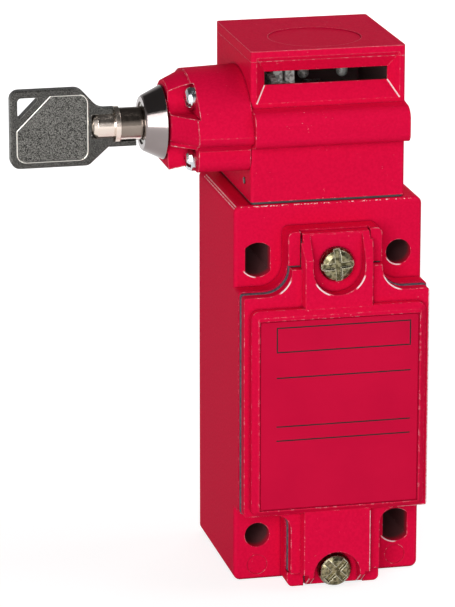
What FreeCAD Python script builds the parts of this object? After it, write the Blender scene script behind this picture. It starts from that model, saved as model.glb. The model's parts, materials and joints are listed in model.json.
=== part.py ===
import FreeCAD, Part
import math
import os

# Key-locked safety limit switch, in millimetres.
# Origin: centre of the fixing-hole pattern on the flat back face.
# +X right seen from the front, -Y to the front, +Z up. A depth is a distance in front of the back face.

V = FreeCAD.Vector

# Fixing pattern
hole_pitch_x = 30.0
hole_pitch_z = 60.0
hole_d = 5.3
slot_len = 7.3

# Body casting
body_w = 40.0
body_d = 33.4
body_top = 41.5
body_drop = 39.9
body_corner = 1.5
body_edge = 0.8
side_wall = 3.2
back_wall = 3.0
top_wall = 8.0
rim_h = 4.1
rim_wall = 2.6
rim_corner = 1.2
bay_top_w = 17.2
bay_low_w = 19.2
bay_low_front_w = 14.0
bay_front_wall = 2.4
pin_mark_d = 4.3
pin_mark_deep = 0.15
pin_mark_drop = 6.6

# Cable entry, M20 x 1.5 drawn as its minor diameter
entry_d = 18.4
entry_len = 7.0

# Outline shared by the rim, the gasket and the cover
shoulder_top = 24.4
shoulder_low = 23.6
arc_top = 4.9
arc_low = 3.1
neck_w = 19.8
tab_w = 14.8
tab_low_w = 12.8
tab_top = 37.0
ear_top = 29.9
ear_low_len = 3.1
ear_h = 1.8

# Gasket and cover
gasket_t = 1.2
gasket_inset = 0.25
gasket_band = 2.0
cover_inset = 0.35
cover_t = 2.5
cover_wall = 2.0
cover_edge = 0.6
cover_lip = 1.0
panel_t = 2.8
panel_margin = 1.2
panel_top = 21.6
panel_low = 22.6
panel_bevel = 1.2
panel_corner = 1.7
label_margin = 1.5
label_top = 19.65
label_low = 21.2
label_deep = 0.4
strip_w = 14.2
strip_t = 1.8
strip_draft = 0.5
strip_root = 0.5
tab_slope_len = 5.0
tab_slope_low = 2.4
tab_end_t = 1.0

# Cover screws, M4 pan head
cover_screw_d = 4.0
cover_screw_hole = 4.4
cover_screw_head = 7.2
cover_screw_head_h = 2.4
cover_screw_len = 10.0
cover_screw_top = 30.1
cover_screw_low = 36.2
cover_bore = 11.0
cover_bore_low = 10.0
cover_bore_drop = 0.5
cover_seat_t = 1.2
drive_share = 0.17
drive_deep_share = 0.42

# Turret head
head_gasket_t = 0.5
head_gasket_inset = 0.3
head_w = 32.6
head_d = 32.3
head_back = 0.3
head_h = 31.6
head_edge = 0.6
head_floor = 4.5
head_left_wall = 3.8
head_right_wall = 2.3
head_front_wall = 2.8
head_back_wall = 2.7
lid_t = 2.2
lid_plug_t = 1.6
lid_gap = 0.1
lid_spot_d = 19.4
lid_spot_deep = 0.25
lid_spot_forward = 4.0
shaft_up = 15.0
slot_rise = 10.5
slot_w = 26.0
slot_h = 2.8
funnel_w = 30.2
funnel_up = 4.7
funnel_down = 4.8
funnel_deep = 2.2
bulge_out = 4.7
bulge_up = 4.9
bulge_down = 3.8
bulge_wall = 1.9
bulge_up_r = 2.6
bulge_down_r = 1.8
neck_pin_d = 1.4
neck_pin_len = 4.0
neck_pin_up = 3.4
neck_pin_depth = 27.0
stop_pin_d = 2.4
stop_pin_pitch = 8.4
stop_pin_depth = 14.0
stop_pin_x = 3.4
stop_pin_up = 6.4
stop_pin_in = 2.0

# Head screws, M3, from inside the body
head_screw_x = 11.0
head_screw_y = 13.2
m3 = 3.0
m3_hole = 3.2
m3_head = 4.9
m3_head_h = 1.9
head_screw_bite = 3.6

# Wheel, shaft and cam in the head
run_gap = 0.05
air_gap = 0.3
seat_gap = 0.02
shaft_d = 5.0
shaft_depth = 20.0
shaft_end_gap = 0.3
bearing_boss_d = 10.0
bearing_boss_len = 3.5
bolt_plate_d = 18.4
cheek_d = 12.4
cheek_t = 1.4
star_d = 14.8
star_t = 4.5
star_crown = 0.7
lobe_reach = 11.0
lobe_r = 1.9
lobe_gap = 0.6
lobe_angle_front = -55.0
lobe_angle_rear = 10.0
wheel_side_gap = 2.4
cam_t = 3.0
cam_hub_d = 6.4
cam_angle = 60.0
cam_lift = 3.0
cam_high = 8.0
cam_angle_overrun = 6.0
cam_back_r = 7.3
cam_back_angle_front = -60.0
cam_back_angle_rear = 40.0
sleeve_d = 7.2

# Plunger and its bush
rod_d = 5.0
bush_d = 8.0
bush_flange_d = 9.6
bush_flange_t = 0.6
bush_drop = 4.0
bush_hole = 8.6

# Lock unit
housing_len = 11.4
housing_nose = 4.3
housing_arc_r = 17.3
housing_arc_down = 6.05
housing_draft = 0.4
housing_shoulder = 0.35
housing_ear_r = 2.0
housing_step_down = 2.4
housing_step = 1.4
housing_skirt_w = 25.2
housing_skirt_down = 8.6
housing_corner = 2.5
nose_r = 8.8
nose_skirt_w = 18.0
nose_skirt_down = 8.8
lock_cavity_d = 14.0
lock_cavity_len = 10.7
housing_screw_y = 7.6
housing_screw_z = 12.7
housing_screw_sink = 0.6
housing_pocket_d = 6.2
housing_screw_bite = 3.4
collar_len = 4.7
collar_big_d = 15.4
collar_small_d = 11.6
collar_lip = 0.4
barrel_d = 10.0
nut_d = 13.6
nut_t = 1.8
plug_d = 8.3
plug_recess = 0.3
keyway_outer = 7.2
keyway_inner = 4.6
keyway_deep = 7.0
tail_d = 4.0
drum_d = 8.8
drum_len = 7.8
bolt_d = 3.6
bolt_radius = 6.5
bolt_travel = 3.5
bolt_pin_d = 1.8
groove_deep = 1.4
lock_angle = 90.0

# Key
key_t = 2.6
key_tube_d = 6.9
key_tube_bore = 4.9
key_insert = 6.5
key_shank_d = 5.6
key_shank_len = 4.75
key_ring_d = 7.6
key_ring_t = 1.0
key_reach = 5.8
bow_len = 16.2
bow_h = 16.3
bow_corner = 1.9
bow_shoulder_r = 2.6
bow_shoulder_back = 1.7
bow_taper_r = 3.0
bow_neck_len = 5.4
bow_neck_up = 3.7
bow_neck_flat = 3.1
bow_neck_down = 4.4
bow_hole_margin = 1.45
bow_hole_leg = 4.8
bow_field_inset = 1.15
bow_field_leg = 7.2
bow_field_deep = 0.15
key_lug_h = 1.0
key_lug_gap = 1.2

# Contact block
block_w = 29.2
block_front = 26.0
block_top = 20.4
block_wall = 1.4
pole_pitch = 10.2
pole_top = 14.6
pocket_h = 8.4
pocket_back = 10.0
foot_bottom = -18.5
foot_front = 9.0
foot_centre_w = 10.0
foot_centre_front = 22.0
spring_floor = 2.0
carriage_w = 6.4
carriage_d = 8.0
carriage_top = 22.0
carriage_bottom = -11.2
bridge_len = 17.2
bridge_w = 4.0
bridge_t = 0.8
bridge_window_d = 4.6
spring_room = 3.2
strip_thick = 1.0
tip_d = 3.0
tip_x = 7.0
terminal_x = 9.4
terminal_front = 25.0
strip_x_in = 6.0
strip_x_out = 12.8
m35 = 3.5
m35_head = 6.4
m35_head_h = 2.2
terminal_screw_len = 6.0
clamp_t = 1.2
clamp_half = 3.0
block_screw_x = 9.5
block_screw_up = 4.3
block_screw_bite = 2.4
earth_x = -6.2
earth_z = -24.8
earth_boss_d = 7.4
earth_boss_h = 5.0

# Springs
contact_spring_r = 1.5
contact_spring_wire = 0.4
contact_spring_turns = 3.0
return_spring_r = 2.3
return_spring_wire = 0.55
return_spring_turns = 4.0

# Places worked out from the driving dimensions
half_w = body_w / 2
rim_face = body_d + rim_h
ear_low = body_drop - ear_low_len
gasket_face = rim_face + gasket_t
cover_face = gasket_face + cover_t
panel_face = cover_face + panel_t
strip_face = cover_face + strip_t
seat_face = gasket_face + cover_seat_t
head_z = body_top + head_gasket_t
head_top = head_z + head_h
lid_z = head_top - lid_t
head_mid = head_back + head_d / 2
head_front = head_back + head_d
head_half = head_w / 2
floor_z = head_z + head_floor
cavity_left = -head_half + head_left_wall
cavity_right = head_half - head_right_wall
cavity_back = head_back + head_back_wall
cavity_front = head_front - head_front_wall
shaft_z = head_z + shaft_up
slot_z = shaft_z + slot_rise
bay_ceiling = body_top - top_wall
chamber_half = half_w - side_wall
chamber_top = shoulder_top - rim_wall
chamber_low = -shoulder_low + rim_wall
entry_top = -body_drop + entry_len
carriage_depth = head_mid
housing_end = -head_half - housing_len
nose_end = housing_end - housing_nose
collar_end = nose_end - collar_len
rod_top_centre = shaft_z - cam_high
bolt_depth = shaft_depth + bolt_radius


def box(x0, x1, d0, d1, z0, z1):
    """Box between two X values, two depths and two heights."""
    return Part.makeBox(x1 - x0, d1 - d0, z1 - z0, V(x0, -d1, z0))


def rod_x(dia, x0, x1, depth, z):
    return Part.makeCylinder(dia / 2, x1 - x0, V(x0, -depth, z), V(1, 0, 0))


def rod_y(dia, d0, d1, x, z):
    return Part.makeCylinder(dia / 2, d1 - d0, V(x, -d0, z), V(0, -1, 0))


def rod_z(dia, z0, z1, x, depth):
    return Part.makeCylinder(dia / 2, z1 - z0, V(x, -depth, z0), V(0, 0, 1))


def rounded_wire(corners, place):
    """Closed wire through 2-D corners (u, v, radius); place(u, v) puts a point in space."""
    ends = []
    for i, (u, v, radius) in enumerate(corners):
        before = V(corners[i - 1][0] - u, corners[i - 1][1] - v, 0)
        following = corners[(i + 1) % len(corners)]
        after = V(following[0] - u, following[1] - v, 0)
        before.normalize()
        after.normalize()
        half_angle = before.getAngle(after) / 2
        reach = radius / math.tan(half_angle)
        middle = before + after
        if radius > 0:
            middle.normalize()
        top = middle * (radius / math.sin(half_angle) - radius)
        corner = V(u, v, 0)
        ends.append((corner + before * reach, corner + top, corner + after * reach, radius))
    edges = []
    for i, (start, top, end, radius) in enumerate(ends):
        if radius > 0:
            arc = [place(point.x, point.y) for point in (start, top, end)]
            edges.append(Part.Arc(*arc).toShape())
        next_start = ends[(i + 1) % len(ends)][0]
        if end.distanceToPoint(next_start) > 1e-6:
            edges.append(Part.LineSegment(place(end.x, end.y), place(next_start.x, next_start.y)).toShape())
    return Part.Wire(edges)


def front_prism(corners, d0, d1):
    """Outline in the XZ plane, solid between two depths."""
    wire = rounded_wire(corners, lambda u, v: V(u, -d0, v))
    return Part.Face(wire).extrude(V(0, d0 - d1, 0))


def side_prism(corners, x0, x1):
    """Outline in depth and height, solid between two X values."""
    wire = rounded_wire(corners, lambda u, v: V(x0, -u, v))
    return Part.Face(wire).extrude(V(x1 - x0, 0, 0))


def turned(profile, base, along):
    """Solid of revolution: (distance, radius) points turned about the line from base in that direction."""
    points = [V(radius, 0, distance) for distance, radius in profile]
    face = Part.Face(Part.makePolygon(points + points[:1]))
    solid = face.revolve(V(0, 0, 0), V(0, 0, 1), 360)
    solid.Placement = FreeCAD.Placement(base, FreeCAD.Rotation(V(0, 0, 1), along))
    return solid


def turned_x(profile, depth, z):
    """Solid of revolution about a line along X; the profile is (x, radius) points."""
    return turned(profile, V(0, -depth, z), V(1, 0, 0))


def joined(shapes):
    return shapes[0].multiFuse(shapes[1:]).removeSplitter()


def less(shape, cuts):
    return shape.cut(Part.makeCompound(cuts)).removeSplitter()


def group(solids):
    return Part.makeCompound(solids)


def pan_screw(dia, length, head, head_h, seat, out, slots):
    """Pan-head screw: seat is the point under its head, out the way its head faces.

    Each drive slot is (angle, length) across the head.
    """
    r = head / 2
    tip = min(0.4, dia / 8)
    profile = [(-length, 0), (-length, dia / 2 - tip), (tip - length, dia / 2), (0, dia / 2), (0, r)]
    profile += [(0.45 * head_h, r), (0.8 * head_h, 0.88 * r), (head_h, 0.62 * r), (head_h, 0)]
    screw = turned(profile, V(0, 0, 0), V(0, 0, 1))
    width = head * drive_share
    deep = head_h * drive_deep_share
    for angle, span in slots:
        cut = Part.makeBox(span, width, head_h, V(-span / 2, -width / 2, head_h - deep))
        cut.rotate(V(0, 0, 0), V(0, 0, 1), angle)
        screw = screw.cut(cut)
    screw.Placement = FreeCAD.Placement(seat, FreeCAD.Rotation(V(0, 0, 1), out))
    return screw


def coil(radius, wire_d, turns, z0, z1, x, depth):
    """Helical spring of six-sided wire; its wire's centre line is half a wire inside both heights."""
    rise = z1 - z0 - wire_d
    path = Part.Wire(Part.makeHelix(rise / turns, rise, radius).Edges)
    ring = [math.radians(60 * i) for i in range(7)]
    corners = [V(radius + wire_d / 2 * math.cos(a), 0, wire_d / 2 * math.sin(a)) for a in ring]
    spring = path.makePipeShell([Part.makePolygon(corners)], True, True)
    spring.translate(V(x, -depth, z0 + wire_d / 2))
    return spring


def front_outline(inset, tab):
    """Corners of the rim's outline; tab=True narrows its two ends between the ears."""
    wide = half_w - inset
    neck = neck_w / 2 - inset
    end = tab_w / 2 - inset if tab else neck
    low_end = tab_low_w / 2 - inset if tab else neck
    corner = 0 if tab else rim_corner
    right = [(end, tab_top - inset, corner)]
    if tab:
        right += [(end, ear_top - inset, 0), (neck, ear_top - inset, 0)]
    right += [(neck, shoulder_top - inset, arc_top + inset)]
    right += [(wide, shoulder_top - inset, cover_edge)]
    right += [(wide, -shoulder_low + inset, cover_edge)]
    right += [(neck, -shoulder_low + inset, arc_low + inset)]
    if tab:
        right += [(neck, -ear_low + inset, 0), (low_end, -ear_low + inset, 0)]
    right += [(low_end, -body_drop + inset, corner)]
    left = [(-x, z, r) for x, z, r in reversed(right)]
    return right + left


def fixing_holes():
    """Round holes at two corners and upright slots, round holes with flat sides, at the other two."""
    holes = []
    for side_x in (-1, 1):
        for side_z in (-1, 1):
            x = side_x * hole_pitch_x / 2
            z = side_z * hole_pitch_z / 2
            if side_x == side_z:
                holes.append(rod_y(hole_d, -1, body_d + 1, x, z))
            else:
                flats = box(x - hole_d / 2, x + hole_d / 2, -1, body_d + 1, z - slot_len, z + slot_len)
                holes.append(flats.common(rod_y(slot_len, -1, body_d + 1, x, z)))
    return holes


def head_screw_places():
    xs = (-head_screw_x / 2, head_screw_x / 2)
    depths = (head_mid - head_screw_y / 2, head_mid + head_screw_y / 2)
    return [(x, d) for x in xs for d in depths]


def housing_screw_places():
    heights = (shaft_z - housing_screw_z / 2, shaft_z + housing_screw_z / 2)
    return [(shaft_depth + housing_screw_y, z) for z in heights]


def stop_pin_places():
    return [(stop_pin_x + side * stop_pin_pitch / 2, stop_pin_depth) for side in (-1, 1)]


def pole_levels():
    return [pole_top - i * pole_pitch for i in range(3)]


def body_casting():
    corners = [
        (-half_w, -body_drop, body_corner),
        (half_w, -body_drop, body_corner),
        (half_w, body_top, body_corner),
        (-half_w, body_top, body_corner),
    ]
    block = front_prism(corners, 0, body_d)
    front = [e for e in block.Edges if all(abs(v.Point.y + body_d) < 1e-6 for v in e.Vertexes)]
    block = block.makeFillet(body_edge, front)
    rim = front_prism(front_outline(0, False), body_d - 2 * body_edge, rim_face)
    ears = []
    ear_shell = front_prism(front_outline(0, False), body_d, rim_face + ear_h)
    for side in (-1, 1):
        for inner, z0, z1 in ((tab_w / 2, ear_top, tab_top), (tab_low_w / 2, -body_drop, -ear_low)):
            x0, x1 = sorted((side * inner, side * neck_w / 2))
            ears.append(ear_shell.common(box(x0, x1, body_d, rim_face + ear_h, z0, z1)))
    solid = joined([block, rim] + ears)
    bay_front = body_d - bay_front_wall
    cuts = fixing_holes()
    cuts.append(box(-chamber_half, chamber_half, back_wall, rim_face + 1, chamber_low, chamber_top))
    cuts.append(box(-bay_top_w / 2, bay_top_w / 2, back_wall, bay_front, chamber_top - 1, bay_ceiling))
    cuts.append(box(-bay_low_w / 2, bay_low_w / 2, back_wall, bay_front, entry_top, chamber_low + 1))
    low_open = -cover_screw_low + cover_screw_head / 2 + rim_wall / 2
    front_half = bay_low_front_w / 2
    cuts.append(box(-front_half, front_half, back_wall, rim_face + 1, low_open, chamber_low + 1))
    cuts.append(rod_z(entry_d, -body_drop - 1, entry_top + 1, 0, head_mid))
    cuts.append(rod_z(bush_hole, bay_ceiling - 1, body_top + 1, 0, head_mid))
    for x, depth in head_screw_places():
        cuts.append(rod_z(m3_hole, bay_ceiling - 1, body_top + 1, x, depth))
    thread_end = seat_face - cover_screw_len - 1
    for z in (cover_screw_top, -cover_screw_low):
        cuts.append(rod_y(cover_screw_d + 2 * seat_gap, thread_end, rim_face + 1, 0, z))
    for x in (-hole_pitch_x / 2, hole_pitch_x / 2):
        z = -hole_pitch_z / 2 - pin_mark_drop
        cuts.append(rod_y(pin_mark_d, body_d - pin_mark_deep, body_d + 1, x, z))
    for x in (-block_screw_x, block_screw_x):
        z = foot_bottom + block_screw_up
        cuts.append(rod_y(m3 + 2 * run_gap, back_wall - block_screw_bite, back_wall + 1, x, z))
    solid = less(solid, cuts)
    boss = rod_y(earth_boss_d, back_wall - 1, back_wall + earth_boss_h, earth_x, earth_z)
    boss = boss.cut(rod_y(m35 + 2 * run_gap, back_wall, back_wall + earth_boss_h + 1, earth_x, earth_z))
    return solid.fuse(boss).removeSplitter()


def cover_gasket():
    """Flat ring on the rim; the cover's lip closes its upper end from sight."""
    outer = front_prism(front_outline(gasket_inset, True), rim_face, gasket_face)
    inner = front_prism(front_outline(gasket_inset + gasket_band, True), rim_face - 1, gasket_face + 1)
    end = tab_top - cover_inset - cover_lip - air_gap
    past = box(-half_w, half_w, rim_face - 2, gasket_face + 2, end, tab_top + 1)
    crossing = box(-half_w, half_w, rim_face - 2, gasket_face + 2, end - gasket_band, tab_top + 1)
    cuts = [inner.cut(crossing), past]
    for z in (cover_screw_top, -cover_screw_low):
        cuts.append(rod_y(cover_screw_hole, rim_face - 1, gasket_face + 1, 0, z))
    return less(outer, cuts)


def end_slope(end_z, side, length):
    """Wedge that bevels a tab back to its thin end."""
    inner_z = end_z - side * length
    thin = gasket_face + tab_end_t
    far = panel_face + 2
    past = end_z + side
    corners = [(strip_face, inner_z, 0), (far, inner_z, 0), (far, past, 0), (thin, past, 0), (thin, end_z, 0)]
    return side_prism(corners, -half_w, half_w)


def front_cover():
    base = front_prism(front_outline(cover_inset, True), gasket_face, cover_face)
    panel_half = half_w - cover_inset - panel_margin
    panel = front_prism([
        (-panel_half, -panel_low, panel_corner),
        (panel_half, -panel_low, panel_corner),
        (panel_half, panel_top, panel_corner),
        (-panel_half, panel_top, panel_corner),
    ], cover_face - 1, panel_face)
    front = [e for e in panel.Edges if all(abs(v.Point.y + panel_face) < 1e-6 for v in e.Vertexes)]
    panel = panel.makeChamfer(panel_bevel, front)
    strip_z0 = -body_drop + cover_inset
    strip_z1 = tab_top - cover_inset
    sections = []
    root = cover_face - strip_root
    for depth, half in ((root, strip_w / 2 + strip_draft), (strip_face, strip_w / 2)):
        ring = [(-half, strip_z0), (half, strip_z0), (half, strip_z1), (-half, strip_z1), (-half, strip_z0)]
        sections.append(Part.makePolygon([V(x, -depth, z) for x, z in ring]))
    strip = Part.makeLoft(sections, True, True)
    lip_half = tab_w / 2 - cover_inset
    lip = box(-lip_half, lip_half, rim_face + seat_gap, cover_face - 1, strip_z1 - cover_lip, strip_z1)
    solid = joined([base, panel, strip, lip])
    label_half = panel_half - label_margin
    cuts = [box(-label_half, label_half, panel_face - label_deep, panel_face + 1, -label_low, label_top)]
    hollow = panel_face - label_deep - cover_wall
    inset = panel_bevel + cover_wall
    inside = panel_half - inset
    cuts.append(box(-inside, inside, gasket_face - 1, hollow, inset - panel_low, panel_top - inset))
    for side, z, end_z, bore, slope in (
        (1, cover_screw_top, strip_z1, cover_bore, tab_slope_len),
        (-1, -cover_screw_low, strip_z0, cover_bore_low, tab_slope_low),
    ):
        cuts.append(rod_y(cover_screw_hole, gasket_face - 1, panel_face, 0, z))
        bore_z = z - cover_bore_drop
        cuts.append(rod_y(bore, seat_face, panel_face + 1, 0, bore_z))
        z0, z1 = sorted((bore_z, end_z + side))
        cuts.append(box(-bore / 2, bore / 2, seat_face, panel_face + 1, z0, z1))
        cuts.append(end_slope(end_z, side, slope))
    # Below the ears' upper ends the strip is no wider than the lower tab.
    for side in (-1, 1):
        x0, x1 = sorted((side * (tab_low_w / 2 - cover_inset), side * half_w))
        cuts.append(box(x0, x1, rim_face, panel_face + 1, strip_z0 - 1, cover_inset - ear_low))
    return less(solid, cuts)


def cover_screws():
    wide = cover_screw_head + 1
    cross = cover_screw_head * 0.8
    screws = []
    for z, angle, span in ((cover_screw_top, 5, wide), (-cover_screw_low, 45, cross)):
        slots = [(angle, span), (angle + 90, span)]
        seat = V(0, -seat_face, z)
        screws.append(pan_screw(cover_screw_d, cover_screw_len, cover_screw_head, cover_screw_head_h,
                                seat, V(0, -1, 0), slots))
    return group(screws)


def head_block(z0, z1, inset):
    """Square block of the turret with rounded upright edges."""
    x = head_half - inset
    d0 = head_back + inset
    d1 = head_front - inset
    corners = [(-x, -d1, head_edge), (x, -d1, head_edge), (x, -d0, head_edge), (-x, -d0, head_edge)]
    wire = rounded_wire(corners, lambda u, v: V(u, v, z0))
    return Part.Face(wire).extrude(V(0, 0, z1 - z0))


def head_gasket():
    holes = [rod_z(bush_hole, body_top - 1, head_z + 1, 0, head_mid)]
    for x, depth in head_screw_places():
        holes.append(rod_z(m3_hole, body_top - 1, head_z + 1, x, depth))
    return less(head_block(body_top, head_z, head_gasket_inset), holes)


def funnel():
    """Lead-in round the actuator slot, tapering into the head's front wall."""
    outer = [(-funnel_w / 2, slot_z - funnel_down), (funnel_w / 2, slot_z - funnel_down),
             (funnel_w / 2, slot_z + funnel_up), (-funnel_w / 2, slot_z + funnel_up)]
    inner = [(-slot_w / 2, slot_z - slot_h / 2), (slot_w / 2, slot_z - slot_h / 2),
             (slot_w / 2, slot_z + slot_h / 2), (-slot_w / 2, slot_z + slot_h / 2)]
    wires = []
    for points, depth in ((outer, head_front), (inner, head_front - funnel_deep)):
        corners = [V(x, -depth, z) for x, z in points]
        wires.append(Part.makePolygon(corners + corners[:1]))
    return Part.makeLoft(wires, True, True)


def bulge(inset):
    """Rounded bar across the head's front, in depth and height."""
    out = head_front + bulge_out - inset
    up = shaft_z + bulge_up - inset
    down = shaft_z - bulge_down + inset
    root = head_front - 1 - inset
    upper_r = max(bulge_up_r - inset, 0.2)
    lower_r = max(bulge_down_r - inset, 0.2)
    return [(root, up, 0), (out, up - 0.8, upper_r), (out, down + 1.2, lower_r), (root, down, 0)]


def head_casting():
    outer = joined([head_block(head_z, lid_z, 0), side_prism(bulge(0), -head_half, head_half)])
    cavity = box(cavity_left, cavity_right, cavity_back, cavity_front, floor_z, lid_z + 1)
    room = side_prism(bulge(bulge_wall), cavity_left, cavity_right)
    sweep = rod_x(2 * (lobe_reach + air_gap), cavity_left, star_right() + air_gap, shaft_depth, shaft_z)
    solid = less(outer, [cavity, room, sweep])
    boss = rod_x(bearing_boss_d, cavity_right - bearing_boss_len, cavity_right + 0.5, shaft_depth, shaft_z)
    solid = solid.fuse(boss)
    bearing = shaft_d + 2 * run_gap
    cuts = [funnel()]
    slot_low = slot_z - slot_h / 2
    cuts.append(box(-slot_w / 2, slot_w / 2, cavity_front - 1, head_front, slot_low, slot_low + slot_h))
    cuts.append(rod_x(bearing, -head_half - 1, cavity_left + 1, shaft_depth, shaft_z))
    boss_face = cavity_right - bearing_boss_len
    cuts.append(rod_x(bearing, boss_face - 1, cavity_right + head_right_wall / 2, shaft_depth, shaft_z))
    cuts.append(rod_x(bolt_d + 2 * run_gap, -head_half - 1, cavity_left + 1, bolt_depth, shaft_z))
    cuts.append(rod_z(bush_d + 2 * seat_gap, head_z - 1, floor_z + 1, 0, head_mid))
    for x, depth in head_screw_places():
        cuts.append(rod_z(m3 + 2 * seat_gap, head_z - 1, head_z + head_screw_bite + air_gap, x, depth))
    for depth, z in housing_screw_places():
        thread_end = -head_half + housing_screw_bite + 0.2
        cuts.append(rod_x(m3 + 2 * seat_gap, -head_half - 1, thread_end, depth, z))
    pin_z = head_z + neck_pin_up
    pin_end = -head_half + neck_pin_len
    cuts.append(rod_x(neck_pin_d + 2 * seat_gap, -head_half - 1, pin_end, neck_pin_depth, pin_z))
    return less(solid, cuts)


def head_lid():
    plate = head_block(lid_z, head_top, 0)
    plug = box(cavity_left + lid_gap, cavity_right - lid_gap, cavity_back + lid_gap, cavity_front - lid_gap,
               lid_z - lid_plug_t, lid_z + 0.5)
    spot_depth = head_mid + lid_spot_forward
    cuts = [funnel(), rod_z(lid_spot_d, head_top - lid_spot_deep, head_top + 1, 0, spot_depth)]
    plug_face = lid_z - lid_plug_t
    for x, depth in stop_pin_places():
        cuts.append(rod_z(stop_pin_d + 2 * seat_gap, plug_face - 1, plug_face + stop_pin_in, x, depth))
    return less(joined([plate, plug]), cuts)


def stop_pins():
    """Round pins hanging from the lid at the back of the slot, where the actuator's tip comes to rest."""
    pins = []
    r = stop_pin_d / 2
    for x, depth in stop_pin_places():
        ball_z = shaft_z + stop_pin_up + r
        pin = rod_z(stop_pin_d, ball_z, lid_z - lid_plug_t + stop_pin_in, x, depth)
        pins.append(pin.fuse(Part.makeSphere(r, V(x, -depth, ball_z))).removeSplitter())
    return group(pins)


def head_screws():
    length = head_z + head_screw_bite - bay_ceiling
    screws = []
    for x, depth in head_screw_places():
        seat = V(x, -depth, bay_ceiling)
        screws.append(pan_screw(m3, length, m3_head, m3_head_h, seat, V(0, 0, -1), [(20, m3_head + 1)]))
    return group(screws)


def neck_pin():
    start = -head_half - 0.2
    return rod_x(neck_pin_d, start, start + neck_pin_len, neck_pin_depth, head_z + neck_pin_up)


def housing_wire(x, arc_r, arc_z, step_z, skirt_half, skirt_z, corner):
    """Section of the lock housing: a round crown over a narrower skirt, in depth and height."""
    def place(depth_offset, z):
        return V(x, -(shaft_depth + depth_offset), z)
    # The crown's arc stops one ear radius above the step and rolls in to it.
    ear_z = step_z + housing_ear_r
    ear_end = math.sqrt(arc_r ** 2 - (ear_z - arc_z) ** 2)
    roll = housing_ear_r * (1 - math.sqrt(0.5))
    low_z = step_z - housing_step
    cut = corner * (1 - math.sqrt(0.5))
    edges = [Part.Arc(place(ear_end, ear_z), place(0, arc_z + arc_r), place(-ear_end, ear_z)).toShape()]
    for side in (-1, 1):
        ear_in = ear_end - housing_ear_r
        bend = place(side * (ear_end - roll), step_z + roll)
        edges.append(Part.Arc(place(side * ear_end, ear_z), bend, place(side * ear_in, step_z)).toShape())
        skirt = side * skirt_half
        chain = [place(side * ear_in, step_z), place(skirt, low_z), place(skirt, skirt_z + corner)]
        edges += [Part.LineSegment(a, b).toShape() for a, b in zip(chain, chain[1:])]
        bend = place(skirt - side * cut, skirt_z + cut)
        edges.append(Part.Arc(chain[-1], bend, place(skirt - side * corner, skirt_z)).toShape())
    flat = skirt_half - corner
    edges.append(Part.LineSegment(place(-flat, skirt_z), place(flat, skirt_z)).toShape())
    return Part.Wire(Part.__sortEdges__(edges))


def lock_housing():
    crown_z = shaft_z - housing_arc_down
    step_z = shaft_z - housing_step_down
    skirt_z = shaft_z - housing_skirt_down
    skirt = housing_skirt_w / 2
    end_r = housing_arc_r - housing_draft
    end_skirt = skirt - housing_draft / 2
    tip_z = shaft_z - nose_skirt_down
    root = housing_wire(-head_half, housing_arc_r, crown_z, step_z, skirt, skirt_z, housing_corner)
    end = housing_wire(housing_end, end_r, crown_z, step_z, end_skirt, skirt_z, housing_corner)
    # The nose starts a small shoulder inside the crown's end.
    nose_skirt = end_skirt - housing_shoulder
    nose_low = skirt_z + housing_shoulder
    start_r = end_r - housing_shoulder
    shoulder = housing_wire(housing_end, start_r, crown_z, step_z, nose_skirt, nose_low, housing_corner)
    tip = housing_wire(nose_end, nose_r, shaft_z, step_z, nose_skirt_w / 2, tip_z, housing_corner)
    main = Part.makeLoft([root, end], True, True)
    nose = Part.makeLoft([shoulder, tip], True, True)
    solid = main.fuse(nose)
    cavity_end = -head_half - lock_cavity_len
    seat_x = housing_end + housing_screw_sink
    cuts = [rod_x(lock_cavity_d, cavity_end, -head_half + 1, shaft_depth, shaft_z)]
    cuts.append(rod_x(barrel_d + 2 * seat_gap, nose_end - 1, cavity_end + 1, shaft_depth, shaft_z))
    cuts.append(rod_x(bolt_d + 2 * air_gap, cavity_end + 1, -head_half + 1, bolt_depth, shaft_z))
    for depth, z in housing_screw_places():
        cuts.append(rod_x(m3_hole, seat_x - 1, -head_half + 1, depth, z))
        cuts.append(rod_x(housing_pocket_d, nose_end - 1, seat_x, depth, z))
        half = housing_pocket_d / 2
        cuts.append(box(nose_end - 1, seat_x, depth, depth + housing_arc_r, z - half, z + half))
    return less(solid, cuts)


def housing_screws():
    seat_x = housing_end + housing_screw_sink
    length = -head_half + housing_screw_bite - seat_x
    screws = []
    for depth, z in housing_screw_places():
        seat = V(seat_x, -depth, z)
        screws.append(pan_screw(m3, length, m3_head, m3_head_h, seat, V(-1, 0, 0), [(65, m3_head + 1)]))
    return group(screws)


def lock_collar():
    bore = barrel_d / 2 + seat_gap
    lip = plug_d / 2 + air_gap
    inner = collar_end + collar_lip
    return turned_x([
        (nose_end, bore), (nose_end, collar_big_d / 2 - 0.5), (nose_end - 0.5, collar_big_d / 2),
        (collar_end + 0.3, collar_small_d / 2), (collar_end, collar_small_d / 2 - 0.3),
        (collar_end, lip), (inner, lip), (inner, bore),
    ], shaft_depth, shaft_z)


def barrel_start():
    return collar_end + collar_lip


def barrel_end():
    return -head_half - lock_cavity_len + nut_t + 0.2


def lock_barrel():
    bore = plug_d / 2 + run_gap
    radius = barrel_d / 2
    start = barrel_start()
    end = barrel_end()
    return turned_x([(start, bore), (start, radius), (end - 0.3, radius), (end, radius - 0.3), (end, bore)],
                    shaft_depth, shaft_z)


def lock_nut():
    face = -head_half - lock_cavity_len
    ring = rod_x(nut_d, face, face + nut_t, shaft_depth, shaft_z)
    bore = rod_x(barrel_d + 2 * seat_gap, face - 1, face + nut_t + 1, shaft_depth, shaft_z)
    notches = []
    for side in (-1, 1):
        d0, d1 = sorted((shaft_depth + side * (nut_d / 2 + 1), shaft_depth + side * (nut_d / 2 - 0.6)))
        notches.append(box(face - 1, face + nut_t + 1, d0, d1, shaft_z - 1, shaft_z + 1))
    return less(ring, [bore] + notches)


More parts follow.
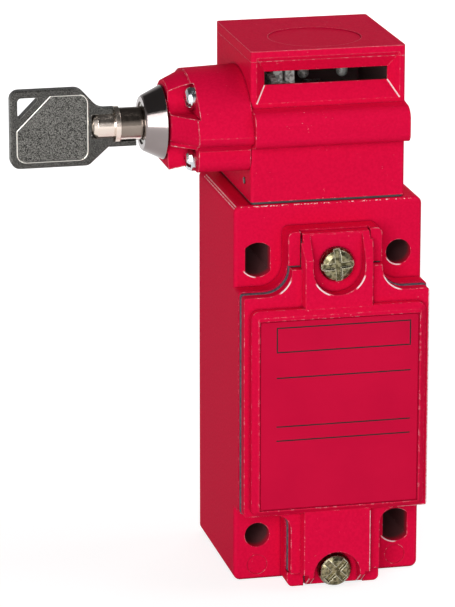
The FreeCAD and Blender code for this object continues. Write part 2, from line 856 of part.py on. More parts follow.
def drum_end():
    return -head_half - air_gap


def lock_plug():
    front = collar_end + plug_recess
    end = barrel_end() + 0.1
    body = rod_x(plug_d, front, end, shaft_depth, shaft_z)
    tail = rod_x(tail_d, end - 1, drum_end(), shaft_depth, shaft_z)
    keyway = rod_x(keyway_outer, front - 1, front + keyway_deep, shaft_depth, shaft_z)
    post = rod_x(keyway_inner, front - 2, front + keyway_deep + 1, shaft_depth, shaft_z)
    notch_top = shaft_z + plug_d / 2 - 0.3
    notch = box(front - 1, front + 1.5, shaft_depth - 0.6, shaft_depth + 0.6, shaft_z, notch_top)
    return less(body.fuse(tail).removeSplitter(), [keyway.cut(post), notch.cut(post)])


def groove_start():
    """X of the bolt's pin when the lock stands at rest."""
    return drum_end() - drum_len + 1.0 + bolt_pin_d / 2 + air_gap


def lock_drum():
    """Sleeve on the lock's tail; its helical groove turns a quarter turn of the key into the bolt's travel."""
    x1 = drum_end()
    sleeve = rod_x(drum_d, x1 - drum_len, x1, shaft_depth, shaft_z)
    sleeve = sleeve.cut(rod_x(tail_d + 2 * seat_gap, x1 - drum_len - 1, x1 + 1, shaft_depth, shaft_z))
    pitch = bolt_travel * 360 / lock_angle
    overrun = 14.0
    rise = pitch * (lock_angle + 2 * overrun) / 360
    mean_r = drum_d / 2 - groove_deep / 2 + 0.5
    path = Part.Wire(Part.makeHelix(pitch, rise, mean_r).Edges)
    half = bolt_pin_d / 2 + air_gap
    tall = groove_deep / 2 + 0.5
    lead = math.atan(pitch / (2 * math.pi * mean_r))
    across = V(0, -math.sin(lead), math.cos(lead))
    points = []
    for side_r, side_w in ((-tall, -half), (tall, -half), (tall, half), (-tall, half)):
        points.append(V(mean_r + side_r, 0, 0) + across * side_w)
    cutter = path.makePipeShell([Part.makePolygon(points + points[:1])], True, True)
    cutter.translate(V(0, 0, -pitch * overrun / 360))
    # The helix climbs along +X from the front of the drum, against the key's turn.
    cutter.rotate(V(0, 0, 0), V(0, 0, 1), -overrun)
    cutter = cutter.mirror(V(0, 0, 0), V(0, 1, 0))
    turn = FreeCAD.Matrix(0, 0, 1, groove_start(), -1, 0, 0, -shaft_depth, 0, -1, 0, shaft_z, 0, 0, 0, 1)
    cutter = cutter.transformGeometry(turn)
    return sleeve.cut(cutter)


def bolt_tip():
    return cavity_left - 0.1


def lock_bolt():
    start = groove_start() - bolt_pin_d
    rod = rod_x(bolt_d, start, bolt_tip(), bolt_depth, shaft_z)
    tip = [e for e in rod.Edges if e.Closed and abs(e.CenterOfMass.x - bolt_tip()) < 1e-6]
    rod = rod.makeChamfer(0.4, tip)
    pin_bore = bolt_pin_d + 2 * seat_gap
    return rod.cut(rod_y(pin_bore, bolt_depth - bolt_d, bolt_depth + bolt_d / 4, groove_start(), shaft_z))


def bolt_pin():
    inner = shaft_depth + drum_d / 2 - groove_deep + air_gap
    return rod_y(bolt_pin_d, inner, bolt_depth + bolt_d / 4, groove_start(), shaft_z)


def wheel_point(angle, radius):
    """Depth and height of a point on the wheel; the angle runs from the top towards the back."""
    a = math.radians(angle)
    return shaft_depth - radius * math.sin(a), shaft_z + radius * math.cos(a)


def shaft_bore(x0, x1):
    return rod_x(shaft_d + 2 * seat_gap, x0 - 1, x1 + 1, shaft_depth, shaft_z)


def wheel_left():
    return cavity_left + wheel_side_gap


def star_left():
    return wheel_left() + cheek_t


def star_right():
    return star_left() + star_t


def star_lobe(angle, x0, x1):
    """Round-ended tooth standing out of the wheel at that angle."""
    a = math.radians(angle)
    reach = lobe_reach - lobe_r
    corners = []
    for r, w in ((0, -lobe_r), (reach, -lobe_r), (reach, lobe_r), (0, lobe_r)):
        depth, z = wheel_point(angle, r)
        corners.append((depth - w * math.cos(a), z - w * math.sin(a), 0))
    depth, z = wheel_point(angle, reach)
    return side_prism(corners, x0, x1).fuse(rod_x(2 * lobe_r, x0, x1, depth, z))


def star_wheel():
    """Crowned disc with two pairs of teeth that the actuator turns."""
    x0 = star_left()
    x1 = star_right()
    r = star_d / 2
    side = star_t / 4
    disc = turned_x([
        (x0, 0), (x0, r - star_crown), (x0 + side, r - star_crown / 4), ((x0 + x1) / 2, r),
        (x1 - side, r - star_crown / 4), (x1, r - star_crown), (x1, 0),
    ], shaft_depth, shaft_z)
    half = (star_t - lobe_gap) / 2
    teeth = []
    for angle in (lobe_angle_front, lobe_angle_rear):
        teeth += [star_lobe(angle, x0, x0 + half), star_lobe(angle, x1 - half, x1)]
    return less(joined([disc] + teeth), [shaft_bore(x0, x1)])


def bolt_plate():
    """Plate on the wheel's lock side, with a hole for the bolt at each end of the wheel's turn."""
    x0 = wheel_left()
    x1 = x0 + cheek_t
    cuts = [shaft_bore(x0, x1)]
    for angle in (-90.0, -90.0 - cam_angle):
        depth, z = wheel_point(angle, bolt_radius)
        cuts.append(rod_x(bolt_d + 2 * air_gap, x0 - 1, x1 + 1, depth, z))
    return less(rod_x(bolt_plate_d, x0, x1, shaft_depth, shaft_z), cuts)


def wheel_cheek():
    x0 = star_right()
    x1 = x0 + cheek_t
    return rod_x(cheek_d, x0, x1, shaft_depth, shaft_z).cut(shaft_bore(x0, x1))


def cam_shaft():
    x0 = -head_half + shaft_end_gap
    x1 = cavity_right + head_right_wall / 2 - shaft_end_gap
    shaft = rod_x(shaft_d, x0, x1, shaft_depth, shaft_z)
    rims = [e for e in shaft.Edges if e.Closed]
    return shaft.makeChamfer(0.3, rims)


def cam_point(angle):
    """Point of the cam's edge for a turn of the wheel, as offsets to the back and up from the shaft.

    The rod's round tip rises in proportion to the turn, so its centre traces the pitch curve
    on the wheel, and the edge lies one tip radius and a small gap inside it.
    """
    offset = shaft_depth - head_mid
    per_degree = cam_lift / cam_angle

    def pitch_at(a):
        drop = cam_high - per_degree * a
        turn = math.radians(a)
        c = math.cos(turn)
        s = math.sin(turn)
        return V(offset * c + drop * s, offset * s - drop * c, 0)

    here = pitch_at(angle)
    along = pitch_at(angle + 0.01) - pitch_at(angle - 0.01)
    inward = V(-along.y, along.x, 0)
    if inward.dot(here) > 0:
        inward = inward * -1
    inward.normalize()
    return here + inward * (rod_d / 2 + air_gap / 2)


def plunger_cam():
    steps = 12
    span = cam_angle + 2 * cam_angle_overrun
    x0 = -cam_t / 2
    centre = V(x0, -shaft_depth, shaft_z)
    points = []
    for i in range(steps + 1):
        p = cam_point(-cam_angle_overrun + span * i / steps)
        points.append(centre + V(0, p.x, p.y))
    edge = Part.BSplineCurve()
    edge.interpolate(points)
    sides = [Part.LineSegment(points[-1], centre).toShape(), Part.LineSegment(centre, points[0]).toShape()]
    face = Part.Face(Part.Wire([edge.toShape()] + sides))
    lobe = face.extrude(V(cam_t, 0, 0))
    hub = rod_x(cam_hub_d, x0, -x0, shaft_depth, shaft_z)
    middle = (cam_back_angle_front + cam_back_angle_rear) / 2
    arc = []
    for angle in (cam_back_angle_front, middle, cam_back_angle_rear):
        depth, z = wheel_point(angle, cam_back_r)
        arc.append(V(x0, -depth, z))
    rays = [Part.LineSegment(arc[-1], centre).toShape(), Part.LineSegment(centre, arc[0]).toShape()]
    back = Part.Face(Part.Wire([Part.Arc(*arc).toShape()] + rays)).extrude(V(cam_t, 0, 0))
    return less(joined([lobe, hub, back]), [shaft_bore(x0, -x0)])


def spacer_sleeve():
    x0 = cam_t / 2 + 1.5
    x1 = cavity_right - bearing_boss_len - air_gap
    sleeve = rod_x(sleeve_d, x0, x1, shaft_depth, shaft_z)
    return sleeve.cut(shaft_bore(x0, x1))


def plunger():
    rod = rod_z(rod_d, carriage_top, rod_top_centre, 0, carriage_depth)
    tip = Part.makeSphere(rod_d / 2, V(0, -carriage_depth, rod_top_centre))
    return rod.fuse(tip).removeSplitter()


def plunger_bush():
    tube = rod_z(bush_d, head_z - bush_drop, floor_z + bush_flange_t, 0, head_mid)
    flange = rod_z(bush_flange_d, floor_z, floor_z + bush_flange_t, 0, head_mid)
    bore = rod_z(rod_d + 2 * run_gap, head_z - bush_drop - 1, floor_z + bush_flange_t + 1, 0, head_mid)
    return less(joined([tube, flange]), [bore])


def key_face():
    """X of the key's shoulder, clear of the collar."""
    return collar_end - key_reach


def bow_left():
    return key_face() - bow_neck_len - bow_len


def bow_outline():
    """Corners of the key's bow in X and Z: a rounded square that tapers into the neck."""
    neck_x = key_face()
    taper_x = neck_x - bow_neck_len
    up = shaft_z + bow_h / 2
    down = shaft_z - bow_h / 2
    neck_up = shaft_z + bow_neck_up
    neck_down = shaft_z - bow_neck_down
    return [
        (bow_left(), down, bow_corner), (taper_x, down, bow_corner),
        (neck_x - 1.2, neck_down, 0.6), (neck_x, neck_down, 0), (neck_x, neck_up, 0),
        (neck_x - bow_neck_flat, neck_up, bow_taper_r), (taper_x - bow_shoulder_back, up, bow_shoulder_r),
        (bow_left(), up, bow_corner),
    ]


def bow_field():
    """Corners of the sunk field on each side of the bow, cut off beside the ring hole."""
    left = bow_left() + bow_field_inset
    right = key_face() - bow_neck_len
    up = shaft_z + bow_h / 2 - bow_field_inset
    down = shaft_z - bow_h / 2 + bow_field_inset
    return [(left, down, bow_corner), (right, down, bow_corner), (right, up, bow_corner),
            (left + bow_field_leg, up, 0.4), (left, up - bow_field_leg, 0.4)]


def key_bow():
    back = shaft_depth - key_t / 2
    front = shaft_depth + key_t / 2
    plate = front_prism(bow_outline(), back, front)
    edges = [e for e in plate.Edges if abs(abs(e.CenterOfMass.y + shaft_depth) - key_t / 2) < 1e-6]
    plate = plate.makeChamfer(0.25, edges)
    face_x = key_face()
    lug_z = shaft_z - bow_neck_down
    lug = box(face_x - 1, collar_end - key_lug_gap, back, front, lug_z, lug_z + key_lug_h)
    shank_end = face_x - key_shank_len - seat_gap
    shank = rod_x(key_shank_d + 2 * seat_gap, shank_end, face_x + 1, shaft_depth, shaft_z)
    left = bow_left() + bow_hole_margin
    top = shaft_z + bow_h / 2 - bow_hole_margin
    hole = front_prism([(left, top, 0.8), (left, top - bow_hole_leg, 0.4), (left + bow_hole_leg, top, 0.4)],
                       back - 1, front + 1)
    fields = [front_prism(bow_field(), front - bow_field_deep, front + 1)]
    fields.append(front_prism(bow_field(), back - 1, back + bow_field_deep))
    return less(plate.fuse(lug).removeSplitter(), [shank, hole] + fields)


def key_tube():
    x0 = key_face()
    x1 = collar_end + plug_recess + key_insert
    start = x0 - key_shank_len
    shank_r = key_shank_d / 2
    ring_end = x0 + key_ring_t
    tube_r = key_tube_d / 2
    bore_r = key_tube_bore / 2
    bore_x = collar_end - 1.5
    solid = turned_x([
        (start, 0), (start, shank_r - 1.3), (start + 0.4, shank_r - 0.5), (start + 1.2, shank_r),
        (x0, shank_r), (x0, key_ring_d / 2), (ring_end, key_ring_d / 2), (ring_end, tube_r), (x1, tube_r),
        (x1, bore_r), (bore_x, bore_r), (bore_x, 0),
    ], shaft_depth, shaft_z)
    lug_top = shaft_z - bow_neck_down + key_lug_h + seat_gap
    flat = box(x0 - 1, collar_end, shaft_depth - key_t, shaft_depth + key_t, shaft_z - key_ring_d, lug_top)
    return solid.cut(flat)


def contact_block():
    """Moulded insulator: three pole pockets a side, a central channel for the carriage and a fixing foot."""
    half = block_w / 2
    levels = pole_levels()
    pocket_low = levels[-1] - pocket_h / 2
    upper = box(-half, half, back_wall, block_front, pocket_low, block_top)
    foot = box(-half, half, back_wall, foot_front, foot_bottom, pocket_low)
    centre = box(-foot_centre_w / 2, foot_centre_w / 2, back_wall, foot_centre_front, foot_bottom, pocket_low)
    solid = joined([upper, foot, centre])
    channel_x = carriage_w / 2 + air_gap
    channel_d = carriage_d / 2 + air_gap
    cuts = [box(-channel_x, channel_x, carriage_depth - channel_d, carriage_depth + channel_d,
                foot_bottom + spring_floor, block_top + 1)]
    for level in levels:
        z0 = level - pocket_h / 2
        z1 = level + pocket_h / 2
        for side in (-1, 1):
            x0, x1 = sorted((side * (channel_x - 0.5), side * (half - block_wall)))
            cuts.append(box(x0, x1, pocket_back, block_front + 1, z0, z1))
    for x in (-block_screw_x, block_screw_x):
        cuts.append(rod_y(m3_hole, back_wall - 1, foot_front + 1, x, foot_bottom + block_screw_up))
    return less(solid, cuts)


def bridge_place(index):
    """Height of a bridge's underside at rest; the lowest pole closes downwards, the others upwards."""
    level = pole_levels()[index]
    if index < 2:
        return level - 2.3
    return level - 0.9


def carriage_window(index):
    low = bridge_place(index)
    if index < 2:
        return low - spring_room, low + bridge_t
    return low, low + bridge_t + spring_room


def contact_carriage():
    half = carriage_w / 2
    back = carriage_depth - carriage_d / 2
    bar = box(-half, half, back, back + carriage_d, carriage_bottom, carriage_top)
    cuts = []
    for index in range(3):
        low, high = carriage_window(index)
        w = bridge_window_d / 2
        cuts.append(box(-half - 1, half + 1, carriage_depth - w, carriage_depth + w, low, high))
    return less(bar, cuts)


def contact_bridges():
    bridges = []
    for index in range(3):
        low = bridge_place(index)
        back = carriage_depth - bridge_w / 2
        bridges.append(box(-bridge_len / 2, bridge_len / 2, back, back + bridge_w, low, low + bridge_t))
    return group(bridges)


def contact_springs():
    springs = []
    for index in range(3):
        low, high = carriage_window(index)
        bridge = bridge_place(index)
        if index < 2:
            z0, z1 = low, bridge
        else:
            z0, z1 = bridge + bridge_t, high
        spring = coil(contact_spring_r, contact_spring_wire, contact_spring_turns, z0, z1, 0, carriage_depth)
        springs.append(spring)
    return group(springs)


def return_spring():
    seat = foot_bottom + spring_floor
    turns = return_spring_turns
    return coil(return_spring_r, return_spring_wire, turns, seat, carriage_bottom, 0, carriage_depth)


def fixed_contact(side, index):
    """Strip on the pocket's ceiling or floor, bent into a terminal plate, with a contact tip."""
    level = pole_levels()[index]
    upward = 1 if index < 2 else -1
    seat = level + upward * pocket_h / 2
    x0, x1 = sorted((side * strip_x_in, side * strip_x_out))
    z0, z1 = sorted((seat, seat - upward * strip_thick))
    strip = box(x0, x1, carriage_depth - bridge_w / 2, terminal_front, z0, z1)
    p0, p1 = sorted((seat, level - upward * clamp_half))
    plate = box(x0, x1, terminal_front - strip_thick, terminal_front, p0, p1)
    bridge = bridge_place(index)
    touch = bridge + bridge_t + cam_lift + air_gap if index < 2 else bridge - air_gap
    t0, t1 = sorted((touch, seat - upward * strip_thick / 2))
    tip = rod_z(tip_d, t0, t1, side * tip_x, carriage_depth)
    hole = rod_y(m35 + 2 * run_gap, terminal_front - 3, terminal_front + 1, side * terminal_x, level)
    return less(joined([strip, plate, tip]), [hole])


def terminals():
    return [(side, index) for side in (-1, 1) for index in range(3)]


def fixed_contacts():
    return group([fixed_contact(side, index) for side, index in terminals()])


def terminal_clamps():
    clamps = []
    for side, index in terminals():
        level = pole_levels()[index]
        x = side * terminal_x
        plate = box(x - clamp_half, x + clamp_half, terminal_front, terminal_front + clamp_t,
                    level - clamp_half, level + clamp_half)
        hole = rod_y(m35 + 2 * run_gap, terminal_front - 1, terminal_front + clamp_t + 1, x, level)
        clamps.append(plate.cut(hole))
    return group(clamps)


def terminal_screws():
    screws = []
    for side, index in terminals():
        seat = V(side * terminal_x, -terminal_front - clamp_t, pole_levels()[index])
        slots = [(20 * index + 8 * side, m35_head + 1)]
        screws.append(pan_screw(m35, terminal_screw_len, m35_head, m35_head_h, seat, V(0, -1, 0), slots))
    return group(screws)


def block_screws():
    length = foot_front - back_wall + block_screw_bite - air_gap
    screws = []
    for x in (-block_screw_x, block_screw_x):
        seat = V(x, -foot_front, foot_bottom + block_screw_up)
        screws.append(pan_screw(m3, length, m3_head, m3_head_h, seat, V(0, -1, 0), [(30, m3_head + 1)]))
    return group(screws)


def earth_clamp():
    face = back_wall + earth_boss_h
    plate = box(earth_x - clamp_half, earth_x + clamp_half, face, face + clamp_t,
                earth_z - clamp_half, earth_z + clamp_half)
    return plate.cut(rod_y(m35 + 2 * run_gap, face - 1, face + clamp_t + 1, earth_x, earth_z))


def earth_screw():
    seat = V(earth_x, -(back_wall + earth_boss_h + clamp_t), earth_z)
    length = earth_boss_h + clamp_t - air_gap
    return pan_screw(m35, length, m35_head, m35_head_h, seat, V(0, -1, 0), [(40, m35_head + 1)])


PIECES = [
    body_casting, cover_gasket, front_cover, cover_screws,
    head_gasket, head_casting, head_lid, head_screws, neck_pin, stop_pins,
    lock_housing, housing_screws, lock_collar, lock_barrel, lock_nut,
    lock_plug, lock_drum, lock_bolt, bolt_pin, key_bow, key_tube,
    cam_shaft, star_wheel, bolt_plate, wheel_cheek, plunger_cam, spacer_sleeve,
    plunger, plunger_bush, contact_carriage, contact_bridges, contact_springs, return_spring,
    contact_block, fixed_contacts, terminal_clamps, terminal_screws, block_screws,
    earth_clamp, earth_screw,
]

os.makedirs("parts", exist_ok=True)
for piece in PIECES:
    shape = piece()
    shape.exportStep("parts/" + piece.__name__ + ".step")
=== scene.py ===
import bpy
import bmesh
import json
import math
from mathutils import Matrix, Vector


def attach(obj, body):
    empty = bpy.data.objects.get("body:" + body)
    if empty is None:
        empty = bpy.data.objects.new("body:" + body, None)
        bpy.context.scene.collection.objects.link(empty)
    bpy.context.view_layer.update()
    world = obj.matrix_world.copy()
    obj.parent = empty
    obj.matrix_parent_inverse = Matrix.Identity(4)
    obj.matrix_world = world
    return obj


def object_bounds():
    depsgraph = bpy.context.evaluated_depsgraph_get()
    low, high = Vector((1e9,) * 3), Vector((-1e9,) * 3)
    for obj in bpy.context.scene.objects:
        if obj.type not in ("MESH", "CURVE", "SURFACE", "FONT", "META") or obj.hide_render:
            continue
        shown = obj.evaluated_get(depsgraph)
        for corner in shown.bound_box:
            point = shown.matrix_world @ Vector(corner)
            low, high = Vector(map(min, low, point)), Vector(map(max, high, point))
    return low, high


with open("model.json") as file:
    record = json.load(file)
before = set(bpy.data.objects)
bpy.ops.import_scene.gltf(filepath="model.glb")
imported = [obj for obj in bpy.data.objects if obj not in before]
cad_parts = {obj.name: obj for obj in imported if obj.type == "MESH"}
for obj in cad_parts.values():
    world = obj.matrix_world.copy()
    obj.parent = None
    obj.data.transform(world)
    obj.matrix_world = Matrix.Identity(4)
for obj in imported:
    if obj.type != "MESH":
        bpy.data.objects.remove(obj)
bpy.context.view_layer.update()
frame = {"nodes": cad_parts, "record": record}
nodes = frame["nodes"]

MM = 0.001

# Sizes of the solids, in millimetres as all that follows up to the studio; faces count from the back
BODY_FACE, COVER_FACE, STRIP_FACE, PANEL_FACE = 33.4, 41.2, 43.0, 44.0
LOCK_Y, LOCK_Z = -20.0, 57.0


# Shader helpers

def axes(tree, space="Object"):
    """X, Y and Z of the shaded point, in metres of the object's own coordinates or in another space."""
    coords = tree.nodes.new("ShaderNodeTexCoord")
    split = tree.nodes.new("ShaderNodeSeparateXYZ")
    tree.links.new(coords.outputs[space], split.inputs["Vector"])
    return split.outputs


def noise(tree, scale, detail=3.0, stretch=(1, 1, 1)):
    """Noise in the object's own coordinates; scale counts features per metre."""
    coords = tree.nodes.new("ShaderNodeTexCoord")
    mapping = tree.nodes.new("ShaderNodeMapping")
    mapping.inputs["Scale"].default_value = stretch
    texture = tree.nodes.new("ShaderNodeTexNoise")
    texture.inputs["Scale"].default_value = scale
    texture.inputs["Detail"].default_value = detail
    tree.links.new(coords.outputs["Object"], mapping.inputs["Vector"])
    tree.links.new(mapping.outputs["Vector"], texture.inputs["Vector"])
    return texture.outputs["Fac"]


def ramp(tree, value, low, high, start=0.36, end=0.64):
    """Values or colours blended from low to high as the value goes from start to end."""
    node = tree.nodes.new("ShaderNodeValToRGB")
    node.color_ramp.elements[0].position = start
    node.color_ramp.elements[1].position = end
    for element, level in zip(node.color_ramp.elements, (low, high)):
        element.color = (*level, 1) if isinstance(level, tuple) else (level, level, level, 1)
    tree.links.new(value, node.inputs["Fac"])
    return node.outputs["Color"]


def math_node(tree, operation, first, second=0.0):
    node = tree.nodes.new("ShaderNodeMath")
    node.operation = operation
    for socket, value in zip(node.inputs, (first, second)):
        if isinstance(value, (int, float)):
            socket.default_value = value
        else:
            tree.links.new(value, socket)
    return node.outputs["Value"]


def product(tree, first, *others):
    for other in others:
        first = math_node(tree, "MULTIPLY", first, other)
    return first


def vector_math(tree, operation, *operands):
    """Operation on vectors, each a socket or a plain Vector."""
    node = tree.nodes.new("ShaderNodeVectorMath")
    node.operation = operation
    for socket, value in zip(node.inputs, operands):
        if isinstance(value, Vector):
            socket.default_value = value
        else:
            tree.links.new(value, socket)
    return node.outputs["Value" if operation in ("DOT_PRODUCT", "LENGTH") else "Vector"]


def mixed(tree, share, first, second):
    """A colour mixed with a second, plain one by a share."""
    node = tree.nodes.new("ShaderNodeMix")
    node.data_type = "RGBA"
    tree.links.new(share, node.inputs["Factor"])
    tree.links.new(first, node.inputs["A"])
    node.inputs["B"].default_value = (*second, 1)
    return node.outputs["Result"]


NODE_SAMPLES = 6
EDGE_GAIN = 6.0


def rounded(tree, radius):
    """Normal that rolls over the edges with that radius."""
    bevel = tree.nodes.new("ShaderNodeBevel")
    bevel.samples = NODE_SAMPLES
    bevel.inputs["Radius"].default_value = radius * MM
    return bevel.outputs["Normal"]


def bumped(tree, normal, height, strength, depth):
    bump = tree.nodes.new("ShaderNodeBump")
    bump.inputs["Strength"].default_value = strength
    bump.inputs["Distance"].default_value = depth * MM
    tree.links.new(height, bump.inputs["Height"])
    tree.links.new(normal, bump.inputs["Normal"])
    return bump.outputs["Normal"]


def edge_share(tree, normal):
    """How near an edge is: it grows with the angle between the rolled normal and the flat one."""
    geometry = tree.nodes.new("ShaderNodeNewGeometry")
    along = vector_math(tree, "DOT_PRODUCT", normal, geometry.outputs["Normal"])
    return product(tree, math_node(tree, "SUBTRACT", 1.0, along), EDGE_GAIN)


def openness(tree, reach):
    """1 where a surface lies open, less in corners and crevices closer than the reach."""
    node = tree.nodes.new("ShaderNodeAmbientOcclusion")
    node.samples = NODE_SAMPLES
    node.inputs["Distance"].default_value = reach * MM
    return node.outputs["AO"]


def inside_box(tree, low, high):
    """1 inside an upright box in the object's own coordinates, 0 outside."""
    places = axes(tree)
    shares = []
    for axis, start, end in zip("XYZ", low, high):
        offset = math_node(tree, "SUBTRACT", places[axis], (start + end) / 2 * MM)
        away = math_node(tree, "ABSOLUTE", offset)
        shares.append(math_node(tree, "LESS_THAN", away, (end - start) / 2 * MM))
    return product(tree, *shares)


def fading(tree, distance, reach):
    """1 up to half the reach, then falling to 0 at it."""
    return ramp(tree, math_node(tree, "DIVIDE", distance, reach * MM), 1.0, 0.0, start=0.5, end=1.0)


def near_line(tree, start, end, reach):
    """1 on a straight line between two points, fading to 0 at that reach from it."""
    first = Vector(start) * MM
    span = Vector(end) * MM - first
    coords = tree.nodes.new("ShaderNodeTexCoord")
    offset = vector_math(tree, "SUBTRACT", coords.outputs["Object"], first)
    across = vector_math(tree, "CROSS_PRODUCT", offset, span.normalized())
    along = vector_math(tree, "DOT_PRODUCT", offset, span.normalized())
    past_start = math_node(tree, "GREATER_THAN", along, 0.0)
    before_end = math_node(tree, "LESS_THAN", along, span.length)
    return product(tree, fading(tree, vector_math(tree, "LENGTH", across), reach), past_start, before_end)


def near_arc(tree, centre, radius, first, last, reach, face):
    """1 on an arc in the XZ plane between two angles in degrees, on what lies in front of that depth."""
    places = axes(tree)
    right = math_node(tree, "SUBTRACT", places["X"], centre[0] * MM)
    up = math_node(tree, "SUBTRACT", places["Z"], centre[1] * MM)
    square = math_node(tree, "ADD", product(tree, right, right), product(tree, up, up))
    off = math_node(tree, "SUBTRACT", math_node(tree, "SQRT", square), radius * MM)
    middle_angle = math.radians((first + last) / 2)
    half_angle = math.radians((last - first) / 2)
    turned = math_node(tree, "SUBTRACT", math_node(tree, "ARCTAN2", up, right), middle_angle)
    turned = math_node(tree, "DIVIDE", math_node(tree, "ABSOLUTE", turned), half_angle)
    on_line = fading(tree, math_node(tree, "ABSOLUTE", off), reach)
    in_front = math_node(tree, "LESS_THAN", places["Y"], -face * MM)
    between = ramp(tree, turned, 1.0, 0.0, start=0.7, end=1.0)
    return product(tree, on_line, between, in_front)


SPECK_SCALE, SPECK_PATCH_SCALE, WEAR_AND_GLINT_SCALE = 2100.0, 160.0, 1100.0
CORNER_REACH = 0.9


def surface(name, low, high, rough, metallic=0.0, grain=1500.0, stretch=(1, 1, 1), edge=0.12, bump=0.1,
            depth=0.02, tone=60.0, span=(0.36, 0.64), specular=0.5, tint=(1, 1, 1), glint_and_wear_colour=None, wear_and_glint_share=0.0,
            even=0.3, shelter=(0.70, 0.95), dull=False, glint_specks=None, painted_corner_shade=None, painted=None):
    """Principled material whose colour, roughness and relief vary over the surface.

    tone and grain are the scales of the colour's and the relief's noise, and span is the stretch of
    the tone's noise over which low turns to high; edge is the radius of rolled edges and depth the
    relief's height; tint colours the gloss seen at a slant; worn is the colour of rubbed paint and
    painted highlights along outer edges, wear how much of it, even the part of that found all along
    them, shelter the openness over which it sets in, and dull tells whether it scatters light instead
    of mirroring it; specks is the colour of painted glints, bright points found in patches; grime is
    the colour of painted shade in corners and crevices; painted changes the base colour further.
    """
    mat = bpy.data.materials.new(name)
    mat.use_nodes = True
    tree = mat.node_tree
    shader = tree.nodes["Principled BSDF"]
    shader.inputs["Metallic"].default_value = metallic
    shader.inputs["Specular IOR Level"].default_value = specular
    shader.inputs["Specular Tint"].default_value = (*tint, 1)
    normal = rounded(tree, edge)
    colour = ramp(tree, noise(tree, tone), low, high, *span)
    # Painted glints: bright points in patches
    if glint_specks:
        points = ramp(tree, noise(tree, SPECK_SCALE, detail=2.0), 0.0, 0.7, start=0.72, end=0.78)
        patches = ramp(tree, noise(tree, SPECK_PATCH_SCALE), 0.0, 1.0, start=0.54, end=0.64)
        colour = mixed(tree, product(tree, points, patches), colour, glint_specks)
    if painted:
        colour = painted(tree, colour)
    if painted_corner_shade or glint_and_wear_colour:
        free = openness(tree, CORNER_REACH)
    # Painted shade: the colour darkens in corners and crevices
    if painted_corner_shade:
        colour = mixed(tree, ramp(tree, free, 0.75, 0.0, start=0.25, end=0.80), colour, painted_corner_shade)
    # Rubbed paint and painted highlights along outer edges, kept out of corners
    if glint_and_wear_colour:
        patchy = ramp(tree, noise(tree, WEAR_AND_GLINT_SCALE, detail=4.0), even * wear_and_glint_share, wear_and_glint_share, start=0.54, end=0.62)
        share = product(tree, edge_share(tree, normal), patchy, ramp(tree, free, 0.0, 1.0, *shelter))
        share = math_node(tree, "MINIMUM", share, 1.0)
        colour = mixed(tree, share, colour, glint_and_wear_colour)
        if dull:
            mirroring = ramp(tree, share, metallic, 0.0, start=0.0, end=1.0)
            tree.links.new(mirroring, shader.inputs["Metallic"])
    tree.links.new(colour, shader.inputs["Base Color"])
    fine = noise(tree, grain, stretch=stretch)
    tree.links.new(ramp(tree, fine, *rough), shader.inputs["Roughness"])
    tree.links.new(bumped(tree, normal, fine, bump, depth), shader.inputs["Normal"])
    return mat


# Paint on single pieces

# Painted highlights on edges that catch the light; where a place has its X apart, the pair that goes with it
# is Y and Z
GLINT = (0.97, 0.76, 0.79)
GLINT_GRAIN = 2400.0
FACE_SLACK = 0.2

# Cover: its right and lower edges, the lower tab's edges, the upper pocket's rim and the shoulders
COVER_REACH, COVER_EDGE_BACK = 0.2, 0.05
COVER_EDGE_Y = COVER_EDGE_BACK - COVER_FACE
COVER_RIGHT_X, COVER_RIGHT_LOW, COVER_RIGHT_HIGH = 19.60, -22.9, 23.8
COVER_FOOT_Z, COVER_FOOT_START, COVER_FOOT_END = -23.2, 13.4, 19.3
TAB_X, TAB_LOW, TAB_HIGH = 7.1, -36.4, -23.0
TAB_END_XS = (5.0, 6.05)
TAB_END_UPPER, TAB_END_LOWER = (-STRIP_FACE, -37.15), (-39.7, -39.55)
POCKET_RIM = dict(centre=(0.0, 29.6), radius=5.68, face=STRIP_FACE - FACE_SLACK)
SHOULDER_X, SHOULDER_Z = 14.8, 29.3
SHOULDER_RIM = dict(radius=5.36, face=COVER_FACE - FACE_SLACK)
COVER_ARCS = (
    dict(POCKET_RIM, first=-52.0, last=-15.0),
    dict(POCKET_RIM, first=-152.0, last=-108.0),
    dict(SHOULDER_RIM, centre=(-SHOULDER_X, SHOULDER_Z), first=-62.0, last=-20.0),
    dict(SHOULDER_RIM, centre=(SHOULDER_X, SHOULDER_Z), first=-160.0, last=-100.0),
)


def cover_edges():
    edges = [
        ((COVER_RIGHT_X, COVER_EDGE_Y, COVER_RIGHT_LOW), (COVER_RIGHT_X, COVER_EDGE_Y, COVER_RIGHT_HIGH)),
        ((COVER_FOOT_START, COVER_EDGE_Y, COVER_FOOT_Z), (COVER_FOOT_END, COVER_EDGE_Y, COVER_FOOT_Z)),
        ((TAB_X, -STRIP_FACE, TAB_LOW), (TAB_X, -STRIP_FACE, TAB_HIGH)),
    ]
    for side in (-1, 1):
        for x in TAB_END_XS:
            edges.append(((side * x, *TAB_END_UPPER), (side * x, *TAB_END_LOWER)))
    return edges


def cover_painted_glints(tree, colour):
    """Painted highlights on the upper pocket's rim, the shoulders, the right edges and the lower tab's end.
    """
    dotted = ramp(tree, noise(tree, GLINT_GRAIN), 0.45, 0.95, start=0.44, end=0.56)
    for start, end in cover_edges():
        colour = mixed(tree, product(tree, near_line(tree, start, end, COVER_REACH), dotted), colour, GLINT)
    for arc in COVER_ARCS:
        colour = mixed(tree, near_arc(tree, reach=COVER_REACH, **arc), colour, GLINT)
    return colour


# Head: painted highlights on the lower corners of the funnel, and the room inside, bare of enamel and
# darkened with painted shade
FUNNEL_REACH = 0.22
FUNNEL_INNER_X, FUNNEL_OUTER_X = 13.0, 15.1
FUNNEL_INNER, FUNNEL_OUTER = (-30.4, 66.1), (-32.6, 62.7)
HEAD_ROOM = ((-15.0, -30.1, 40.0), (15.0, -1.6, 70.0))
HEAD_BARE_AND_SHADE = (0.12, 0.07, 0.07)


